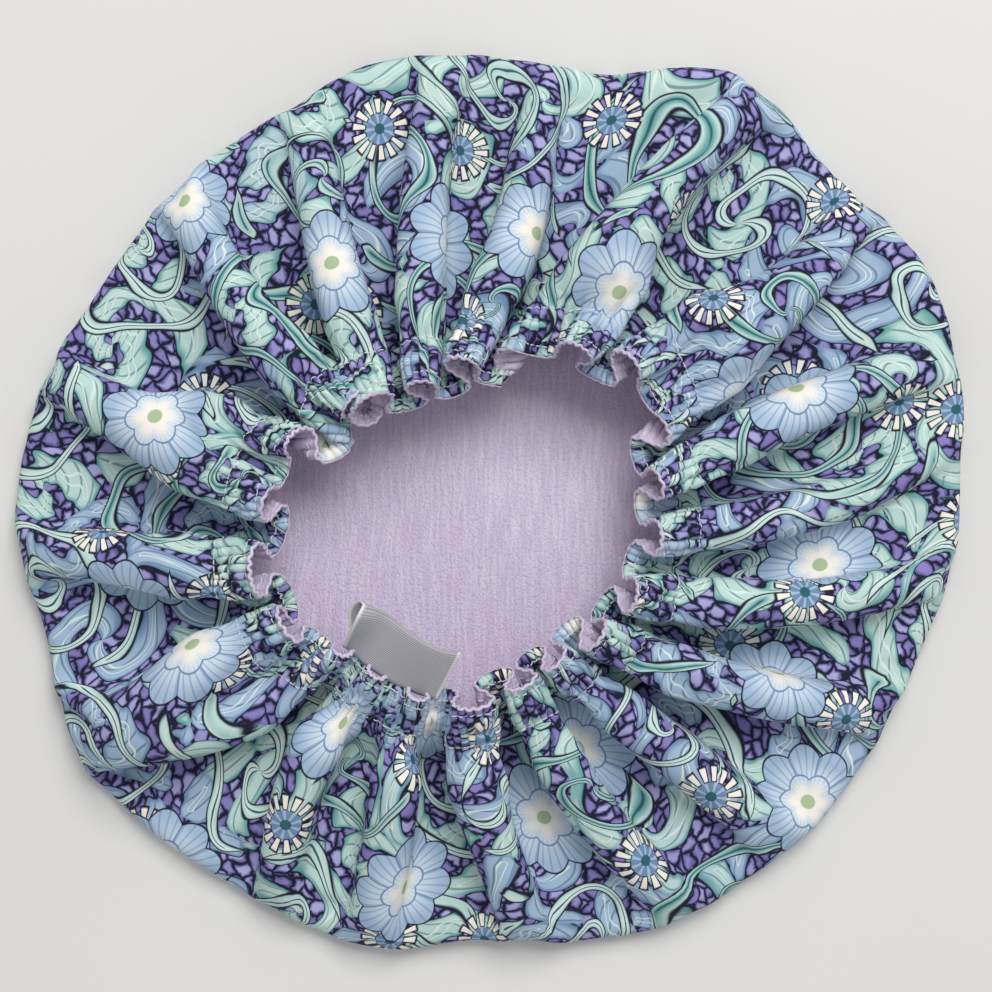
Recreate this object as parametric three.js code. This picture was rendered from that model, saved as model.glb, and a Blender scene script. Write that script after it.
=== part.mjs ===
// A lined, elasticated shower cap lying crown down on a table, with its gathered opening up.
// Two cut circles of cloth, a printed outer and a waterproof lining, lie on each other from the
// flat crown over the rim to the opening's edge. Two rows of stitching there make a casing for a
// loop of elastic, which draws the cloth into folds. Millimetres, +Z up, crown on Z = 0.

import * as THREE from "three";

// Rim of the crown: an oval with soft corners and flats, each an angle and how far it stands out
const RIM_HALF_WIDTH = 152;
const RIM_HALF_DEPTH = 143;
const RIM_STAND_OUT = [
  [3, 0], [14, 5], [28, 10], [41, 5], [60, 13], [77, -1.5], [105, 2.5], [118, -3], [150, -6.5],
  [182, 0.5], [195, -2], [214, 6], [238, 3], [254, 5], [270, -2], [292, 3.5], [310, 1], [337, -4],
];
const RIM_ROLL = 8;
const RIM_HEIGHT = 7.5;

// Wall from the rim in to the casing: shares of the way from its shoulder, and middle heights
const SHOULDER_INSET = 12;
const SHOULDER_HEIGHT = 14.5;
const LOWER_WALL_SHARE = 0.34;
const LOWER_WALL_HEIGHT = 19.5;
const UPPER_WALL_SHARE = 0.72;
const UPPER_WALL_HEIGHT = 27;

// Opening: the gathered edge is another uneven oval, off the crown's centre
const OPENING_X = -7.5;
const OPENING_Y = -7.5;
const OPENING_HALF_WIDTH = 53;
const OPENING_HALF_DEPTH = 50;
const OPENING_STAND_OUT = [
  [5, 0], [44, 14], [77, -1], [102, -10], [140, -6], [163, 1], [200, 6], [228, -4], [262, -1],
  [305, -8], [339, -3],
];
const EDGE_HEIGHT = 38;
const CASING_SLOPE = 33;

// Gathered folds: how many go round, where the first crest is, how far they drift round from even
// spacing and where most, and how far each crest and valley lies from the middle
const FOLD_COUNT = 18;
const FOLD_START = 25.5;
const FOLD_DRIFT = 8.4;
const FOLD_DRIFT_ANGLE = 256;
const SHOULDER_FOLD = 2.5;
const LOWER_WALL_FOLD = 7.5;
const UPPER_WALL_FOLD = 8;
const CASING_FOLD = 5.5;
const EDGE_FOLD = 4.5;

// Height of a fold's flank as a share of the fold: crests are narrow low down and broad high up
const LOWER_WALL_FLANK = -0.4;
const UPPER_WALL_FLANK = 0.35;

// Cloth layers and the room between pieces that touch
const OUTER_THICKNESS = 0.6;
const LINING_THICKNESS = 0.6;
const LAYER_GAP = 0.4;
const CLEARANCE = 0.3;

// Elastic casing and its stitching
const EDGE_INSET = 3;
const CASING_WIDTH = 13;
const ELASTIC_WIDTH = 9;
const ELASTIC_THICKNESS = 0.9;
const LAP_LENGTH = 14;
const THREAD_DIAMETER = 0.5;
const ZIGZAG_WIDTH = 5;

// Folded label tape
const LABEL_ANGLE = 243;
const LABEL_WIDTH = 34;
const LABEL_HEIGHT = 13;
const LABEL_PLY = 0.4;
const LABEL_LEAN = 8;

const degrees = THREE.MathUtils.degToRad;
const UP = new THREE.Vector3(0, 0, 1);
const STEPS_PER_FOLD = 4;
const COLUMNS = FOLD_COUNT * STEPS_PER_FOLD;

// Value of a [angle, value] ring at any angle, easing from one entry to the next
function ringValue(ring, angle) {
  const at = THREE.MathUtils.euclideanModulo(angle, 360);
  const next = ring.findIndex(([a]) => a > at);
  const after = ring[next < 0 ? 0 : next];
  const before = ring.at(next < 0 ? -1 : next - 1);
  const span = THREE.MathUtils.euclideanModulo(after[0] - before[0], 360);
  const gone = THREE.MathUtils.euclideanModulo(at - before[0], 360);
  return THREE.MathUtils.lerp(before[1], after[1], THREE.MathUtils.smoothstep(gone, 0, span));
}

// Point of an uneven oval at an angle, moved out level by a distance
function ovalPoint(centreX, centreY, halfWidth, halfDepth, ring, angle, outward) {
  const c = Math.cos(degrees(angle));
  const s = Math.sin(degrees(angle));
  const oval = (halfWidth * halfDepth) / Math.hypot(halfDepth * c, halfWidth * s);
  const reach = oval + ringValue(ring, angle) + outward;
  return new THREE.Vector3(centreX + reach * c, centreY + reach * s, 0);
}

// Middle surface between the two layers: one row of points for each line round the cap
const HALF_GAP = LAYER_GAP / 2;
const CROWN_HEIGHT = OUTER_THICKNESS + HALF_GAP;
const evenAngle = (column) => FOLD_START + (column * 360) / COLUMNS;
const drift = (even) => FOLD_DRIFT * Math.cos(degrees(even - FOLD_DRIFT_ANGLE));
const columnAngle = (column) => evenAngle(column) + drift(evenAngle(column));

function rimPoint(angle, outward, height) {
  const skin = OUTER_THICKNESS + HALF_GAP;
  return ovalPoint(
    0, 0, RIM_HALF_WIDTH, RIM_HALF_DEPTH, RIM_STAND_OUT, angle, outward - skin,
  ).setZ(height);
}

function openingPoint(angle, fromEdge) {
  const outward = fromEdge * Math.cos(degrees(CASING_SLOPE));
  const height = EDGE_HEIGHT - fromEdge * Math.sin(degrees(CASING_SLOPE));
  return ovalPoint(
    OPENING_X, OPENING_Y, OPENING_HALF_WIDTH, OPENING_HALF_DEPTH, OPENING_STAND_OUT, angle, outward,
  ).setZ(height);
}

// The casing and the edge lie straight where the label is sewn in
const SETTLING_ROUNDS = 8;
let labelEven = LABEL_ANGLE;
for (let round = 0; round < SETTLING_ROUNDS; round += 1) {
  labelEven = LABEL_ANGLE - drift(labelEven);
}
const labelColumn = ((labelEven - FOLD_START) / 360) * COLUMNS;
const pitchAtLabel = (fromEdge) =>
  openingPoint(LABEL_ANGLE, fromEdge).distanceTo(openingPoint(columnAngle(labelColumn + 1), fromEdge));
const labelHalfColumns = LABEL_WIDTH / pitchAtLabel(0) / 2;
const FLAT_FROM_COLUMNS = 1;
const FLAT_TO_COLUMNS = 3;

function foldAtLabel(column) {
  const away = Math.abs(column - labelColumn) - labelHalfColumns;
  return THREE.MathUtils.smoothstep(away, FLAT_FROM_COLUMNS, FLAT_TO_COLUMNS);
}

// Crest, slope, valley, slope; folds near each other differ a little in height
const FOLD_UNEVENNESS = 0.2;
const UNEVEN_CYCLES = 5;

function foldWave(column, flank = 0) {
  const uneven = 1 - FOLD_UNEVENNESS * (1 + Math.sin(UNEVEN_CYCLES * degrees(columnAngle(column)))) / 2;
  const wave = Math.round(Math.cos((2 * Math.PI * column) / STEPS_PER_FOLD));
  return uneven * (wave === 0 ? flank : wave);
}

const CASING_ROW = EDGE_INSET + CASING_WIDTH;
const wallPoint = (angle, share, height) =>
  rimPoint(angle, -SHOULDER_INSET, 0).lerp(openingPoint(angle, CASING_ROW), share).setZ(height);
const rowPoint = {
  crown: (angle) => rimPoint(angle, -RIM_ROLL, CROWN_HEIGHT),
  rim: (angle) => rimPoint(angle, 0, RIM_HEIGHT),
  shoulder: (angle) => rimPoint(angle, -SHOULDER_INSET, SHOULDER_HEIGHT),
  lowerWall: (angle) => wallPoint(angle, LOWER_WALL_SHARE, LOWER_WALL_HEIGHT),
  upperWall: (angle) => wallPoint(angle, UPPER_WALL_SHARE, UPPER_WALL_HEIGHT),
  casing: (angle) => openingPoint(angle, CASING_ROW),
  edgeRow: (angle) => openingPoint(angle, EDGE_INSET),
  edge: (angle) => openingPoint(angle, 0),
};
const fold = {
  shoulder: (column) => SHOULDER_FOLD * foldWave(column),
  lowerWall: (column) => LOWER_WALL_FOLD * foldWave(column, LOWER_WALL_FLANK),
  upperWall: (column) => UPPER_WALL_FOLD * foldWave(column, UPPER_WALL_FLANK),
  casing: (column) => CASING_FOLD * foldWave(column) * foldAtLabel(column),
  edgeRow: (column) => CASING_FOLD * foldWave(column) * foldAtLabel(column),
  edge: (column) => EDGE_FOLD * foldWave(column) * foldAtLabel(column),
};

// Extra half-gap in the casing for the elastic, and more where its ends lap, below the label
const lapColumns = LAP_LENGTH / pitchAtLabel(CASING_ROW);
const lapStart = Math.round(labelColumn - lapColumns / 2);
const plyShift = (ELASTIC_THICKNESS + CLEARANCE) / 2;
const zigzagLift = plyShift + ELASTIC_THICKNESS / 2 + CLEARANCE + THREAD_DIAMETER / 2;
const halfCasing = ELASTIC_THICKNESS / 2 + CLEARANCE;
const halfLapCasing = zigzagLift + THREAD_DIAMETER / 2 + CLEARANCE;
const LAP_FROM_COLUMNS = 2;
const LAP_TO_COLUMNS = 4;

function halfGap(row, column) {
  if (row !== "casing" && row !== "edgeRow") {
    return HALF_GAP;
  }
  const middle = lapStart + lapColumns / 2;
  const away = Math.abs(column - middle) - lapColumns / 2;
  const faded = THREE.MathUtils.clamp(away, LAP_FROM_COLUMNS, LAP_TO_COLUMNS);
  return THREE.MathUtils.mapLinear(faded, LAP_FROM_COLUMNS, LAP_TO_COLUMNS, halfLapCasing, halfCasing);
}

// Grid of the middle surface: the crown's centre, then the rows
const rows = Object.keys(rowPoint);
const points = [{ at: new THREE.Vector3(0, 0, CROWN_HEIGHT), halfGap: HALF_GAP, flat: true }];
const firstOfRow = {};
for (const row of rows) {
  firstOfRow[row] = points.length;
  for (let column = 0; column < COLUMNS; column += 1) {
    const at = rowPoint[row](columnAngle(column));
    at.z += fold[row]?.(column) ?? 0;
    points.push({ at, halfGap: halfGap(row, column), flat: row === "crown" });
  }
}

function gridIndex(row, column) {
  return firstOfRow[row] + THREE.MathUtils.euclideanModulo(column, COLUMNS);
}

// Triangles of the middle surface, facing out of the cap
const triangles = [];
for (let column = 0; column < COLUMNS; column += 1) {
  triangles.push([0, gridIndex("crown", column + 1), gridIndex("crown", column)]);
}
for (let r = 0; r < rows.length - 1; r += 1) {
  for (let column = 0; column < COLUMNS; column += 1) {
    const [a, b] = [gridIndex(rows[r], column), gridIndex(rows[r], column + 1)];
    const [c, d] = [gridIndex(rows[r + 1], column), gridIndex(rows[r + 1], column + 1)];
    const rising = column % STEPS_PER_FOLD < STEPS_PER_FOLD / 2;
    triangles.push(...(rising ? [[a, b, c], [b, d, c]] : [[a, b, d], [a, d, c]]));
  }
}

// Each point's way out of the cap, long enough that both layers keep their thickness over a fold
const MOST_STRETCH = 1.7;
const faceNormals = triangles.map((corners) => {
  const [a, b, c] = corners.map((i) => points[i].at);
  return b.clone().sub(a).cross(c.clone().sub(a)).normalize();
});
for (const point of points) {
  point.faces = [];
}
triangles.forEach((corners, face) => corners.forEach((i) => points[i].faces.push(faceNormals[face])));
for (const point of points) {
  const out = point.faces.reduce((sum, n) => sum.add(n), new THREE.Vector3()).normalize();
  const least = Math.min(...point.faces.map((n) => n.dot(out)));
  const stretch = point.flat ? -1 / out.z : Math.min(1 / least, MOST_STRETCH);
  point.out = out.multiplyScalar(stretch);
}

// A point beside the middle surface, between two rows and between two columns
function besideSurface(rowA, rowB, share, column, offset) {
  const left = Math.floor(column);
  const across = column - left;
  const sum = new THREE.Vector3();
  for (const [row, weight] of [[rowA, 1 - share], [rowB, share]]) {
    for (const [step, part] of [[0, 1 - across], [1, across]]) {
      const point = points[gridIndex(row, left + step)];
      sum.addScaledVector(point.at, weight * part).addScaledVector(point.out, offset * weight * part);
    }
  }
  return sum;
}

function meshFrom(name, vertices, faces, material) {
  const geometry = new THREE.BufferGeometry();
  geometry.setFromPoints(vertices);
  geometry.setIndex(faces.flat());
  geometry.computeVertexNormals();
  const mesh = new THREE.Mesh(geometry, material);
  mesh.name = name;
  return mesh;
}

const cloth = (color, roughness) => new THREE.MeshStandardMaterial({ color, roughness, metalness: 0 });

// One layer of cloth: the whole surface, closed along the opening's edge
function clothLayer(name, side, thickness, material) {
  const near = points.map((p) => p.at.clone().addScaledVector(p.out, side * p.halfGap));
  const far = points.map((p) => p.at.clone().addScaledVector(p.out, side * (p.halfGap + thickness)));
  const [outside, inside] = side > 0 ? [far, near] : [near, far];
  const count = points.length;
  const faces = triangles.flatMap(([a, b, c]) => [[a, b, c], [c + count, b + count, a + count]]);
  for (let column = 0; column < COLUMNS; column += 1) {
    const [a, b] = [gridIndex("edge", column), gridIndex("edge", column + 1)];
    faces.push([a, b, b + count], [a, b + count, a + count]);
  }
  return meshFrom(name, [...outside, ...inside], faces, material);
}

// A strip or tube: one closed section at each station, joined along. With no end faces it joins itself
function loft(name, sections, endFaces, material) {
  const around = sections[0].length;
  const faces = [];
  const joins = endFaces ? sections.length - 1 : sections.length;
  for (let i = 0; i < joins; i += 1) {
    const here = i * around;
    const there = ((i + 1) % sections.length) * around;
    for (let k = 0; k < around; k += 1) {
      const next = (k + 1) % around;
      faces.push([here + k, there + k, there + next], [here + k, there + next, here + next]);
    }
  }
  const last = (sections.length - 1) * around;
  for (const [a, b, c] of endFaces ?? []) {
    faces.push([a, b, c], [last + c, last + b, last + a]);
  }
  return meshFrom(name, sections.flat(), faces, material);
}

const SQUARE_END = [[0, 1, 2], [0, 2, 3]];

// Columns that a stretch passes: its two ends and every column line between them
function columnsBetween(from, to) {
  const stops = [from];
  for (let column = Math.floor(from) + 1; column < to; column += 1) {
    stops.push(column);
  }
  stops.push(to);
  return stops;
}

// Elastic: a flat strip once round inside the casing, its ends lying on each other
function elasticBand() {
  const inset = (CASING_WIDTH - ELASTIC_WIDTH) / 2 / CASING_WIDTH;
  const shift = (column) => {
    const fromStart = THREE.MathUtils.clamp((column - lapStart - lapColumns) / LAP_FROM_COLUMNS, 0, 1);
    const fromEnd = THREE.MathUtils.clamp((lapStart + COLUMNS - column) / LAP_FROM_COLUMNS, 0, 1);
    return plyShift * (fromStart - fromEnd);
  };
  const sections = columnsBetween(lapStart, lapStart + COLUMNS + lapColumns).map((column) => {
    const low = shift(column) - ELASTIC_THICKNESS / 2;
    const high = shift(column) + ELASTIC_THICKNESS / 2;
    const corner = (share, offset) => besideSurface("casing", "edgeRow", share, column, offset);
    return [corner(inset, low), corner(inset, high), corner(1 - inset, high), corner(1 - inset, low)];
  });
  return loft("elastic_band", sections, SQUARE_END, cloth(0xf1efe9, 0.8));
}

// Thread: four-sided, along points that each have their own way up, mitred at each bend
function thread(name, path, closed) {
  const count = path.length;
  const radius = THREAD_DIAMETER / 2;
  const sections = path.map(({ at, up }, i) => {
    const before = path[closed ? (i + count - 1) % count : Math.max(i - 1, 0)].at;
    const after = path[closed ? (i + 1) % count : Math.min(i + 1, count - 1)].at;
    const arriving = at.clone().sub(before).normalize();
    const along = after.clone().sub(at).normalize().add(arriving).normalize();
    const side = up.clone().cross(along).normalize();
    const over = along.clone().cross(side);
    return [[-1, over], [-1, side], [1, over], [1, side]].map(([sign, way]) =>
      at.clone().addScaledVector(way, sign * radius),
    );
  });
  return loft(name, sections, closed ? null : SQUARE_END, cloth(0xf4f2ee, 0.7));
}

// A row of stitching holds both layers: the needle's thread outside, the bobbin's thread inside
function stitchRow(row, name, side, thickness) {
  const path = [];
  for (let column = 0; column < COLUMNS; column += 1) {
    const point = points[gridIndex(row, column)];
    const offset = side * (point.halfGap + thickness + CLEARANCE + THREAD_DIAMETER / 2);
    path.push({ at: point.at.clone().addScaledVector(point.out, offset), up: point.out });
  }
  return thread(name, path, true);
}

// Zigzag across the lap, on one face of the doubled elastic, with a short level run at each turn
const TURNS_PER_COLUMN = 2;
const TURN_RUN_COLUMNS = 0.2;

function lapZigzag(name, side) {
  const share = ZIGZAG_WIDTH / CASING_WIDTH / 2;
  const path = [];
  const turns = Math.floor(lapColumns * TURNS_PER_COLUMN);
  for (let i = 1; i < turns; i += 1) {
    const across = 0.5 + (i % 2 ? share : -share);
    for (const run of [-TURN_RUN_COLUMNS / 2, TURN_RUN_COLUMNS / 2]) {
      const column = lapStart + i / TURNS_PER_COLUMN + run;
      const at = besideSurface("casing", "edgeRow", across, column, side * zigzagLift);
      const up = besideSurface("casing", "edgeRow", across, column, side * (zigzagLift + 1)).sub(at);
      path.push({ at, up });
    }
  }
  return thread(name, path, false);
}

// Label: a tape folded in two, both ends against the opening's edge, following the edge's curve
function labelTape() {
  const edgeAt = (column) => besideSurface("edgeRow", "edge", 1, column, 0);
  const outward = openingPoint(LABEL_ANGLE, 1).setZ(0).sub(openingPoint(LABEL_ANGLE, 0).setZ(0)).normalize();
  const lean = degrees(CASING_SLOPE + LABEL_LEAN);
  const along = outward.clone().multiplyScalar(-Math.cos(lean)).addScaledVector(UP, Math.sin(lean));
  const across = outward.clone().multiplyScalar(Math.sin(lean)).addScaledVector(UP, Math.cos(lean));
  const inside = LABEL_PLY / 2;
  const outside = inside + LABEL_PLY;
  const section = [
    [0, inside], [0, outside], [LABEL_HEIGHT - outside, outside], [LABEL_HEIGHT, inside],
    [LABEL_HEIGHT, -inside], [LABEL_HEIGHT - outside, -outside], [0, -outside], [0, -inside],
    [LABEL_HEIGHT - outside, -inside], [LABEL_HEIGHT - outside, inside],
  ];
  const stops = columnsBetween(labelColumn - labelHalfColumns, labelColumn + labelHalfColumns);
  const sections = stops.map((column) =>
    section.map(([up, over]) =>
      edgeAt(column).addScaledVector(along, CLEARANCE + up).addScaledVector(across, over),
    ),
  );
  const outline = section.map(([up, over]) => new THREE.Vector2(over, up));
  const endFaces = THREE.ShapeUtils.triangulateShape(outline, []);
  return loft("woven_label", sections, endFaces, cloth(0x8d8f93, 0.6));
}

const cap = new THREE.Group();
cap.add(clothLayer("outer_fabric", 1, OUTER_THICKNESS, cloth(0x7f86b4, 0.9)));
cap.add(clothLayer("waterproof_lining", -1, LINING_THICKNESS, cloth(0xa9a0c4, 0.55)));
cap.add(elasticBand());
cap.add(lapZigzag("elastic_join_needle_thread", 1), lapZigzag("elastic_join_bobbin_thread", -1));
cap.add(stitchRow("edgeRow", "edge_row_needle_thread", 1, OUTER_THICKNESS));
cap.add(stitchRow("edgeRow", "edge_row_bobbin_thread", -1, LINING_THICKNESS));
cap.add(stitchRow("casing", "casing_row_needle_thread", 1, OUTER_THICKNESS));
cap.add(stitchRow("casing", "casing_row_bobbin_thread", -1, LINING_THICKNESS));
cap.add(labelTape());

export default cap;
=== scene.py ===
"""A lined, elasticated shower cap lying crown down on a pale table, seen from straight above."""

import math

import bpy
import numpy as np
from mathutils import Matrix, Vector, kdtree


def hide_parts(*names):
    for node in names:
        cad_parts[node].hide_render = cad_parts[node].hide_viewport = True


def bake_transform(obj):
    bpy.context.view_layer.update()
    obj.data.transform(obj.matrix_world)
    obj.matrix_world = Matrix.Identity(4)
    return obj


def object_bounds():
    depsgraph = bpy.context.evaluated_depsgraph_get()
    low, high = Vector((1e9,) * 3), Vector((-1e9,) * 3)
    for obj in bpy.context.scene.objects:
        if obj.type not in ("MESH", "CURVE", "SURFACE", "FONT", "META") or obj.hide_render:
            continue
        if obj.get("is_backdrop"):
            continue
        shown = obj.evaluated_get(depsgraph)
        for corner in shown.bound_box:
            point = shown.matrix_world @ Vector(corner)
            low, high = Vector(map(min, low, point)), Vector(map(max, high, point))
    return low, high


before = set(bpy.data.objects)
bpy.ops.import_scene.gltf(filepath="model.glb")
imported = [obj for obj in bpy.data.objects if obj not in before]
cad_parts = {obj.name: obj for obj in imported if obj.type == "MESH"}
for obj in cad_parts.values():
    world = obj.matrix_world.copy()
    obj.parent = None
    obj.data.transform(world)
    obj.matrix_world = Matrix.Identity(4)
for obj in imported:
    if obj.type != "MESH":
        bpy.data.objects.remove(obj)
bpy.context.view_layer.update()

# The cut cloth: two equal circles, a printed cotton and a waterproof laminate, laid on each other.
# Elastic sewn near their edge draws it in, so the cloth beyond the crown's rim falls into folds.
# Both layers share one middle surface, settled here in millimetres as a grid of columns and rows.
CUT_RADIUS = 252
CUT_CENTRE = np.array([8.5, 10.5])
RIM_HALF = (152, 143)
RIM_UNEVEN = [
    (3, 0), (14, 5), (28, 10), (41, 5), (60, 13), (77, -1.5), (105, 2.5), (118, -3), (150, -6.5),
    (182, 0.5), (195, -2), (214, 6), (238, 3), (254, 5), (270, -2), (292, 3.5), (310, 1), (337, -4),
]
OPENING_CENTRE = (-7.5, -7.5)
OPENING_HALF = (53, 50)
OPENING_UNEVEN = [
    (5, 0), (44, 14), (77, -1), (102, -10), (140, -6), (163, 1), (200, 6), (228, -4), (262, -1),
    (305, -8), (339, -3),
]
LABEL_ANGLE = 243
CROWN_HEIGHT = 1.0
FLAT_RING = 16
COLUMNS, ROWS = 432, 46

turn = np.arange(COLUMNS) * 2 * math.pi / COLUMNS
ray = np.column_stack([np.cos(turn), np.sin(turn)])


def eased(value, low, high):
    share = np.clip((value - low) / (high - low), 0, 1)
    return share * share * (3 - 2 * share)


def oval(centre, half, uneven, degrees, outward=0.0):
    """Points of an oval whose reach stands out by the listed [angle, distance] pairs."""
    angle, out = np.array(uneven, float).T
    angle = np.concatenate([[angle[-1] - 360], angle, [angle[0] + 360]])
    out = np.concatenate([[out[-1]], out, [out[0]]])
    at = np.mod(degrees, 360)
    i = np.clip(np.searchsorted(angle, at, side="right") - 1, 0, len(angle) - 2)
    stand = out[i] + (out[i + 1] - out[i]) * eased(at, angle[i], angle[i + 1])
    c, s = np.cos(np.radians(degrees)), np.sin(np.radians(degrees))
    reach = half[0] * half[1] / np.hypot(half[1] * c, half[0] * s) + stand + outward
    return np.column_stack([centre[0] + reach * c, centre[1] + reach * s])


rim_line = oval((0, 0), RIM_HALF, RIM_UNEVEN, np.arange(0, 360, 0.1)) - CUT_CENTRE
rim_turn = np.mod(np.arctan2(rim_line[:, 1], rim_line[:, 0]), 2 * math.pi)
in_turn = np.argsort(rim_turn)
rim_reach = np.interp(turn, rim_turn[in_turn], np.hypot(*rim_line.T)[in_turn], period=2 * math.pi)
span = CUT_RADIUS - rim_reach + FLAT_RING
reach = CUT_RADIUS - np.linspace(1, 0, ROWS)[:, None] * span
flat = CUT_CENTRE + reach[..., None] * ray

# Fine puckers between the stitch rows take up part of the cloth's length there, and most of it
# below the label, so that the folds hold less: a ring's length is what the puckers leave
PUCKER_TAKE = 0.6
LABEL_PUCKER_TAKE = 2.4
ring_degrees = np.degrees(turn) + 1.2 * np.sin(4 * turn + 1) + 0.8 * np.sin(9 * turn + 2)
near_label = eased(np.abs(ring_degrees - LABEL_ANGLE), 27, 15)
pucker_take = PUCKER_TAKE + (LABEL_PUCKER_TAKE - PUCKER_TAKE) * near_label
pucker_share = eased(CUT_RADIUS - reach, 32, 14)
ring_reach = reach / (1 + pucker_take * pucker_share)

# Before it is drawn in, the wall stands up from the rim like an open drum. Each row swings in and
# out so that its length is the cut one: a few broad folds at the rim part into more at the edge
BROAD_FOLDS = 14
FOLD_SWING = 1.45
RIM_TUCK = 4
LEAST_SLACK = 1.002
SWAY_COLUMNS = 30
fold_phase = BROAD_FOLDS * turn + 1.1 * np.sin(2 * turn + 1) + 0.9 * np.sin(5 * turn + 2)
broad = np.sin(fold_phase) * (1 + 0.25 * np.sin(3 * turn + 2) + 0.2 * np.sin(8 * turn))
parted = np.sin(2 * fold_phase + 1) * (1 + 0.4 * np.sin(6 * turn + 2))
LOOSE_RISE = 0.98
drum = np.zeros((ROWS, COLUMNS, 3))
for row in range(ROWS):
    beyond = np.clip(reach[row] - rim_reach, 0, None)
    line_reach = np.minimum(reach[row], rim_reach) - np.minimum(beyond, RIM_TUCK)
    line = CUT_CENTRE + line_reach[:, None] * ray
    drum[row] = np.column_stack([line, CROWN_HEIGHT + LOOSE_RISE * beyond])
    runs = np.linalg.norm(np.roll(line, -1, 0) - line, axis=1)
    cut_runs = ring_reach[row] * 2 * math.pi / COLUMNS
    around = runs.sum()
    if cut_runs.sum() <= LEAST_SLACK * around:
        continue
    up = row / (ROWS - 1)
    swing = broad * (1 - 0.6 * eased(up, 0.3, 0.9)) + parted * eased(up, 0.3, 0.75)
    swing -= swing.mean()
    least, most = 0.0, 6.0
    for _ in range(40):
        strength = (least + most) / 2
        bearing = FOLD_SWING * np.tanh(strength * swing / FOLD_SWING)
        if (np.cos(bearing) * cut_runs).sum() > around:
            least = strength
        else:
            most = strength
    ahead = np.concatenate([[0], np.cumsum(np.cos(bearing) * cut_runs)])
    ahead = ahead[:-1] * around / ahead[-1]
    aside = np.concatenate([[0], np.cumsum(np.sin(bearing) * cut_runs)])
    aside = aside[:-1] - np.arange(COLUMNS) / COLUMNS * aside[-1]
    swayed = np.concatenate([aside[-SWAY_COLUMNS:], aside, aside[:SWAY_COLUMNS]])
    window = 2 * SWAY_COLUMNS + 1
    aside -= np.convolve(swayed, np.ones(window) / window, "valid")
    length = np.concatenate([[0], np.cumsum(runs)])
    ahead -= ((ahead - length[:-1] + around / 2) % around - around / 2).mean()
    for axis in range(2):
        closed = np.append(line[:, axis], line[0, axis])
        drum[row, :, axis] = np.interp(ahead % around, length, closed)
    outward = drum[row, :, :2] - CUT_CENTRE
    outward /= np.linalg.norm(outward, axis=1)[:, None]
    drum[row, :, :2] += outward * aside[:, None]

# Threads of the weave hold each point at its cut distance from its neighbours. The longer ones
# only push: they are the cloth's stiffness against bending
WEAVE = [
    (0, 1, 0.9, False), (1, 0, 0.9, False), (1, 1, 0.45, False), (1, -1, 0.45, False),
    (0, 2, 0.12, True), (2, 0, 0.15, True), (0, 4, 0.03, True), (4, 0, 0.05, True),
    (0, 8, 0.012, True),
]
index = np.arange(ROWS * COLUMNS).reshape(ROWS, COLUMNS)
flat_points = flat.reshape(-1, 2)
strands = []
for down, across, pull, pushes_only in WEAVE:
    first, second = index[: ROWS - down], np.roll(index, -across, 1)[down:]
    for parity in range(2):
        if down:
            chosen = np.s_[(np.arange(ROWS - down) // down) % 2 == parity]
        else:
            chosen = np.s_[:, (np.arange(COLUMNS) // across) % 2 == parity]
        a, b = first[chosen].ravel(), second[chosen].ravel()
        ring_run = (ring_reach.ravel()[a] + ring_reach.ravel()[b]) / 2
        ring_run = ring_run * across * 2 * math.pi / COLUMNS
        cut = np.hypot(reach.ravel()[b] - reach.ravel()[a], ring_run)
        strands.append((a, b, cut, pull, pushes_only))

# The elastic gathers three rows of the cloth, each a distance back from the edge and a height,
# and every column keeps its own place along it
CASING_SLOPE = math.radians(33)
EDGE_ROW_BACK, ELASTIC_BACK, CASING_ROW_BACK = 3, 9.5, 16
GATHERED_ROWS = [(EDGE_ROW_BACK, 38), (ELASTIC_BACK, 34), (CASING_ROW_BACK, 29.5)]
LOOSE_REACH = 14
LOOP_REACH = 8
LABEL_LOOP_LOSS = 4
LABEL_SET_BACK = 2
loose = CUT_CENTRE + (rim_reach - 6)[:, None] * ray
gathers = []
for back, height in GATHERED_ROWS:
    row = round((ROWS - 1) * (1 - back / span.mean()))
    outward = back * math.cos(CASING_SLOPE) + LABEL_SET_BACK * near_label
    drawn = oval(OPENING_CENTRE, OPENING_HALF, OPENING_UNEVEN, ring_degrees, outward)
    gathers.append((index[row], drawn, drum[row, :, 2].mean(), height))

# The laminate is stiff enough to keep the wall off the crown
WALL_LIFT = 10.9
cloth = drum.reshape(-1, 3).copy()
before = cloth.copy()
free = np.ones((ROWS * COLUMNS, 1))
free[index[:3]] = 0
beyond_rim = (reach - rim_reach).ravel()
CLOTH_LIFT = 0.9
floor_height = CLOTH_LIFT + (WALL_LIFT - CLOTH_LIFT) * eased(beyond_rim, 3, 16)
LEAST_GAP = 3.0
FAR_ON_CLOTH = 2.4 * LEAST_GAP
LATE_RISE = 1.6
DRIFT_KEPT = 0.85
FALL = np.array([0, 0, -0.035])
PULLS = 3
DRAWN_BY = 0.65
LAY_STEPS = 240


def draw_in(share):
    drawn_slack = LOOP_REACH - LABEL_LOOP_LOSS * near_label[:, None]
    slack = LOOSE_REACH + (drawn_slack - LOOSE_REACH) * share
    for points, drawn, low, high in gathers:
        height = low + (high - low) * share**LATE_RISE
        middle_line = np.column_stack([loose + (drawn - loose) * share, np.full(COLUMNS, height)])
        away = cloth[points] - middle_line
        far = np.linalg.norm(away, axis=1)[:, None]
        cloth[points] = middle_line + away * np.minimum(1, slack / np.maximum(far, 1e-9))


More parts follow.
